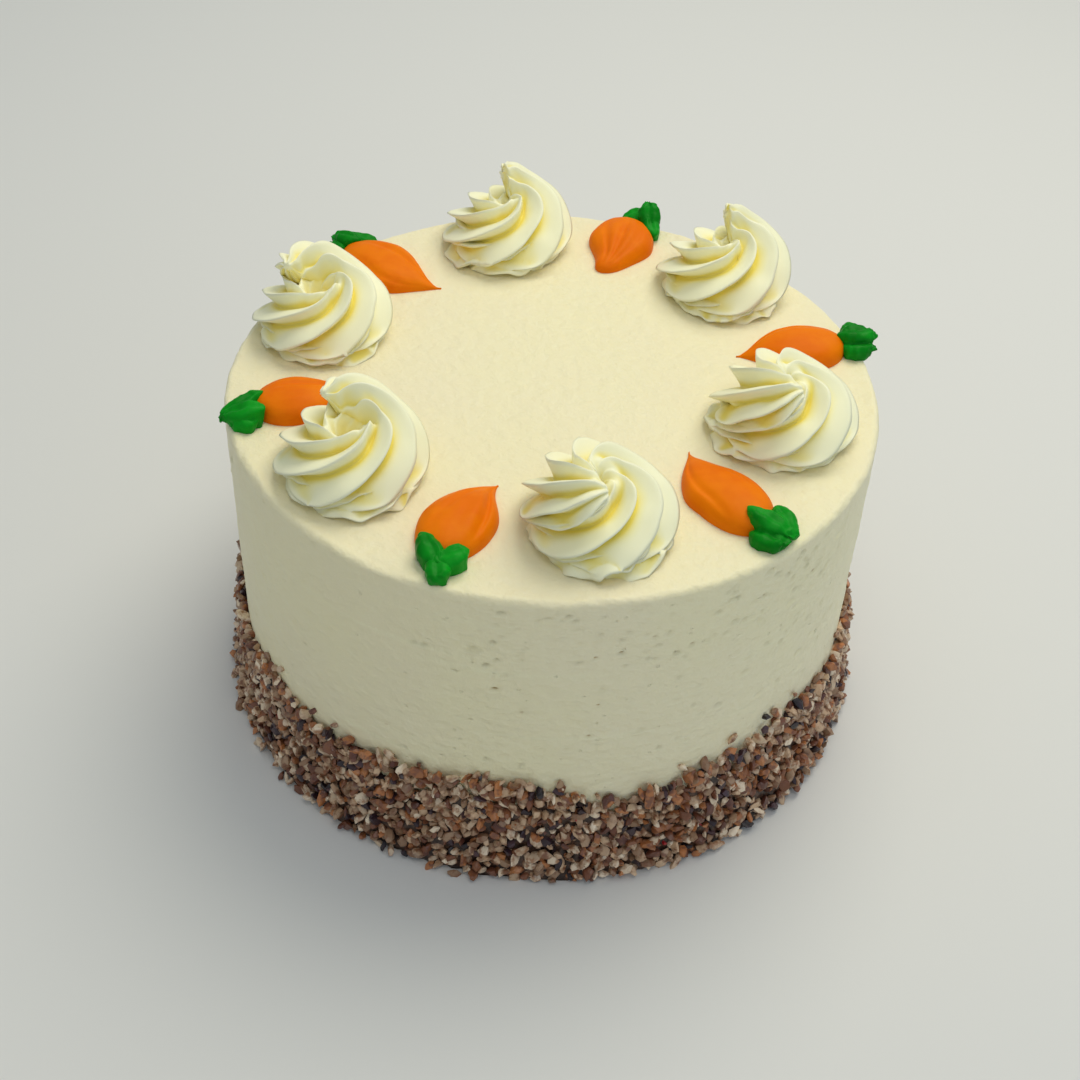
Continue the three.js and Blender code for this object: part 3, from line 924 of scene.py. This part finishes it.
# Letter, polar angle and radius of the widest place, bearing of the point, length, width, how blunt the
# point is, how far the body bellies and the point hooks to the left, creases, and the leaves of the top.
# A crease is (angle over the carrot from its left edge, depth, drift along it). A leaf goes from its
# round start to its point, each as distance out past the carrot's round end, to the side and up, and
# has a width.
CARROTS = (
    (
        "a", 134.9, 90.0, -34.7, 41, 24.5, 0.0, -1.6, 3.4,
        ((1.15, 0.16, -0.7), (2.3, 0.08, 0.5)),
        (
            ((-8, -8.5, 3), (3, -3, 5), 6.5),
            ((-3, -3, 6), (6, -1, 4.5), 7),
            ((-1, 5, 3), (5, 2, 3), 6.5),
        ),
    ),
    (
        "b", 75.1, 90.5, -105.4, 34.5, 24, 0.9, 0.6, -1.8,
        ((0.95, 0.08, 0.3), (1.5, 0.16, 0.1), (2.1, 0.1, -0.3)),
        (
            ((-8.5, -11, 3), (0, -7.5, 5), 6.5),
            ((-4, -8, 3.5), (3, -6, 9), 8),
            ((-1.5, 3, 3), (2, -4, 5.5), 7),
        ),
    ),
    (
        "c", 14.9, 87.5, 188.9, 38, 23, 0.0, 0.6, 0.8,
        ((2.2, 0.1, 0.2),),
        (
            ((-2, -3, 3.5), (8, -3.5, 3), 8),
            ((-3, 0.5, 6), (9.5, 1, 5.5), 8),
            ((-1, 4, 5), (6.5, 4, 4.5), 8),
        ),
    ),
    (
        "d", -47.1, 81.1, 123.9, 43, 22.5, 0.0, 1.3, -3.6,
        ((0.8, 0.12, 0.5), (2.2, 0.05, 0.4)),
        (
            ((-6, -2.5, 7), (7, 4, 3.5), 7),
            ((-5, 8, 4.5), (7, 4.5, 3), 7.5),
            ((-1, -5, 2.6), (9, 0.5, 2.6), 7.5),
        ),
    ),
    (
        "e", -109.5, 81.7, 69.1, 39, 22.5, 0.1, -0.6, -3.4,
        ((2.4, 0.26, -0.5), (1.2, 0.07, 0.5)),
        (
            ((-3.5, -5.5, 6), (4, 3, 3.5), 7),
            ((-4, 9.5, 5), (4, 3, 3.5), 7.5),
            ((10.5, 5.5, 2.4), (3, 3, 3.4), 7),
        ),
    ),
    (
        "f", -166.7, 85.7, 21.9, 34, 22, 0.3, 0.0, 0.0,
        ((1.3, 0.14, 0.3),),
        (
            ((-4, -3, 6), (10, 3, 3), 6.5),
            ((-3, 6.5, 6.5), (10, 3, 3.5), 7.5),
            ((0, 9, 2.5), (8, 5, 2.5), 6.5),
        ),
    ),
)


def carrot_half_width(along, blunt):
    """Share of the half width along a carrot, from its round end (0) to its point (1)."""
    if along < WIDEST_AT:
        return math.sqrt(max(1 - (1 - along / WIDEST_AT) ** 2, 0))
    to_point = (along - WIDEST_AT) / (1 - WIDEST_AT)
    pointed = (1 - to_point ** 2) * (1 - 0.62 * to_point ** 3)
    narrowed = 1 - 0.62 * float(smoothstep(to_point))
    rounded = narrowed * math.sqrt(max(1 - max(to_point * 5 - 4, 0) ** 2, 0))
    return pointed + blunt * (rounded - pointed)


def placed(points, polar, radius, pointing):
    """From the carrot's own place, with its point along +X, to its place on the cake."""
    c, s = math.cos(math.radians(pointing)), math.sin(math.radians(pointing))
    points = np.asarray(points)
    x = points[:, 0] * c - points[:, 1] * s + radius * math.cos(math.radians(polar))
    y = points[:, 0] * s + points[:, 1] * c + radius * math.sin(math.radians(polar))
    return np.stack([x, y, points[:, 2] + CAKE_HEIGHT], -1)


def creased(angle, along, creases):
    """Height against an even carrot's, with each crease and the swelling beside it."""
    dip = np.ones(len(angle))
    for at, depth, drift in creases:
        fade = float(smoothstep(along * 2.4 - 0.2) * smoothstep((1 - along) * 4))
        off = angle - at - drift * (along - WIDEST_AT)
        swelling = 0.35 * np.exp(-(((off + 0.3) / 0.2) ** 2))
        dip -= depth * fade * (np.exp(-((off / 0.13) ** 2)) - swelling)
    return dip


def carrot_points(length, width, blunt, belly, hook, creases, seed):
    rings = []
    angle = np.linspace(-0.12, math.pi + 0.12, CARROT_AROUND)
    for i in range(CARROT_STATIONS):
        u = i / (CARROT_STATIONS - 1)
        along = 0.004 + 0.996 * (0.5 - 0.5 * math.cos(math.pi * u) if u < 0.5 else u)
        share = carrot_half_width(along, blunt)
        half = max(width / 2 * share, 0.3)
        tall = max(CARROT_HEIGHT * share ** (0.5 if along < WIDEST_AT else 0.75), 0.7)
        to_point = max(along - WIDEST_AT, 0) / (1 - WIDEST_AT)
        x = length * (along - WIDEST_AT)
        side = belly * math.sin(math.pi * to_point) + hook * to_point ** 4
        over = np.sign(np.sin(angle)) * np.abs(np.sin(angle)) ** 0.75
        up = tall * over * creased(angle, along, creases)
        rings.append(np.stack([np.full(CARROT_AROUND, x), half * np.cos(angle) + side, up], -1))
    points, faces = loft(rings)
    place = points + seed * 31
    points = points + 0.35 * soft_shift(place, 8)
    points[:, 2] += 0.12 * soft_noise(place * (0.35, 1, 1), 1.6, 2) * (points[:, 2] > 1)
    return points, faces


def leaf_points(start, end, width, seed):
    """A squeeze of icing, round where it starts and drawn out to a ragged point."""
    start, end = np.array(start, float), np.array(end, float)
    along = (end - start) / np.linalg.norm(end - start)
    side = np.array([-along[1], along[0], 0])
    side /= np.linalg.norm(side)
    up = np.cross(along, side)
    end = end + 1.6 * along
    angle = np.arange(LEAF_AROUND) * 2 * np.pi / LEAF_AROUND
    rings = []
    for i in range(LEAF_STATIONS):
        u = i / (LEAF_STATIONS - 1)
        size = keyed(LEAF_SIZES, u)
        groove = 1 - 0.42 * np.exp(-(((angle - math.pi / 2) / 0.3) ** 2)) * smoothstep(u * 4)
        middle = start + (end - start) * u
        ring = middle + np.outer(np.cos(angle) * size * width / 2, side)
        ring = ring + np.outer(np.sin(angle) * size * groove * LEAF_THICKNESS / 2, up)
        sunk = smoothstep(-np.sin(angle) * 1.6) * smoothstep(u * 6) * smoothstep((1 - u) * 3)
        ring[:, 2] = np.maximum(ring[:, 2] * (1 - sunk) - LEAF_SUNK * sunk, -LEAF_SUNK)
        rings.append(ring)
    points, faces = loft(rings)
    share = (points - start) @ along / np.linalg.norm(end - start)
    near_point = smoothstep((share - 0.7) / 0.3)[:, None]
    points = points + 0.6 * soft_shift(points + seed * 17, 3.5)
    points = points + (0.12 + 0.8 * near_point) * soft_shift(points + seed * 17, 1.1)
    return points, faces


def carrot(
    letter, polar, radius, pointing, length, width, blunt, belly, hook, creases, leaves, orange, green
):
    seed = ord(letter)
    points, faces = carrot_points(length, width, blunt, belly, hook, creases, seed)
    body = mesh_object(f"carrot_{letter}_piped", placed(points, polar, radius, pointing), faces, orange)
    finish_piece(body, "orange_icing", f"carrot_{letter}")
    butt = -length * WIDEST_AT
    parts = []
    for i, (start, end, leaf_width) in enumerate(leaves):
        start = (butt - start[0], -start[1], start[2])
        end = (butt - end[0], -end[1], end[2])
        points, faces = leaf_points(start, end, leaf_width, seed + i)
        parts.append((placed(points, polar, radius, pointing), faces))
    top = united(f"carrot_top_{letter}_piped", parts, green)
    finish_piece(top, "green_icing", f"carrot_top_{letter}")


# Camera, floor and light. The camera's place is in millimetres, and the lights' places are in metres.

LENS_MM = 54.57
SENSOR_MM = 36.0
CAMERA_AT = (-2.12, -443.98, 443.1)
CAMERA_ELEVATION = math.radians(41.534)
CAMERA_ROLL = 0.043
LIGHT_AIM = (0, 0, 0.09)
FLOOR_REACH = 4000


def camera():
    data = bpy.data.cameras.new("camera")
    data.lens = LENS_MM
    data.sensor_width = SENSOR_MM
    back = Vector((0, -math.cos(CAMERA_ELEVATION), math.sin(CAMERA_ELEVATION)))
    right = Vector((1, 0, 0))
    up = back.cross(right)
    c, s = math.cos(CAMERA_ROLL), math.sin(CAMERA_ROLL)
    tilted_right = right * c + up * s
    tilted_up = up * c - right * s
    turn = Matrix((tilted_right, tilted_up, back)).transposed().to_4x4()
    holder = bpy.data.objects.new("camera", data)
    holder.matrix_world = Matrix.Translation(Vector(CAMERA_AT) * MM) @ turn
    bpy.context.collection.objects.link(holder)
    bpy.context.scene.camera = holder


def soft_light(name, at, size, power, colour):
    data = bpy.data.lights.new(name, "AREA")
    data.shape = "DISK"
    data.size = size
    data.energy = power
    data.color = colour
    holder = bpy.data.objects.new(name, data)
    holder.location = at
    aim = Vector(LIGHT_AIM) - Vector(at)
    holder.rotation_euler = aim.to_track_quat("-Z", "Y").to_euler()
    bpy.context.collection.objects.link(holder)


def studio():
    scene = bpy.context.scene
    scene.view_settings.view_transform = "Standard"
    material, _, shader = new_material("floor")
    shader.inputs["Base Color"].default_value = linear(224, 222, 218)
    shader.inputs["Roughness"].default_value = 0.8
    signs = ((-1, -1), (1, -1), (1, 1), (-1, 1))
    corners = [(x * FLOOR_REACH, y * FLOOR_REACH, 0) for x, y in signs]
    floor = mesh_object("floor", corners, [(0, 1, 2, 3)], material, smooth=False)
    world = bpy.data.worlds.new("studio")
    world.use_nodes = True
    scene.world = world
    backdrop = world.node_tree.nodes["Background"]
    backdrop.inputs["Color"].default_value = (0.84, 0.94, 1.0, 1)
    backdrop.inputs["Strength"].default_value = 0.42
    soft_light("key", (0.3, 0.45, 1.12), 0.9, 7.9, (1.0, 0.965, 0.82))
    soft_light("front", (0.1, -0.5, 1.15), 0.5, 1.6, (1.0, 0.97, 0.93))
    soft_light("fill", (0.7, -0.7, 0.32), 0.8, 0.75, (0.38, 0.62, 1.0))


camera()
studio()
iced_cake(cake_icing())
# The nut bed's dark colours are painted shade in the gaps between the chips
nut_bed(nut_material("packed_nuts_painted_shade", *BED_SHADED_COLOURS))
chopped_nuts()
piped = piped_icing()
for row in ROSETTES:
    rosette(*row, piped)
orange_icing = coloured_icing("orange_icing", (236, 112, 0), (243, 126, 0), 0.5)
green_icing = coloured_icing("green_icing", (4, 118, 18), (16, 156, 34), 0.38)
for row in CARROTS:
    carrot(*row, orange_icing, green_icing)
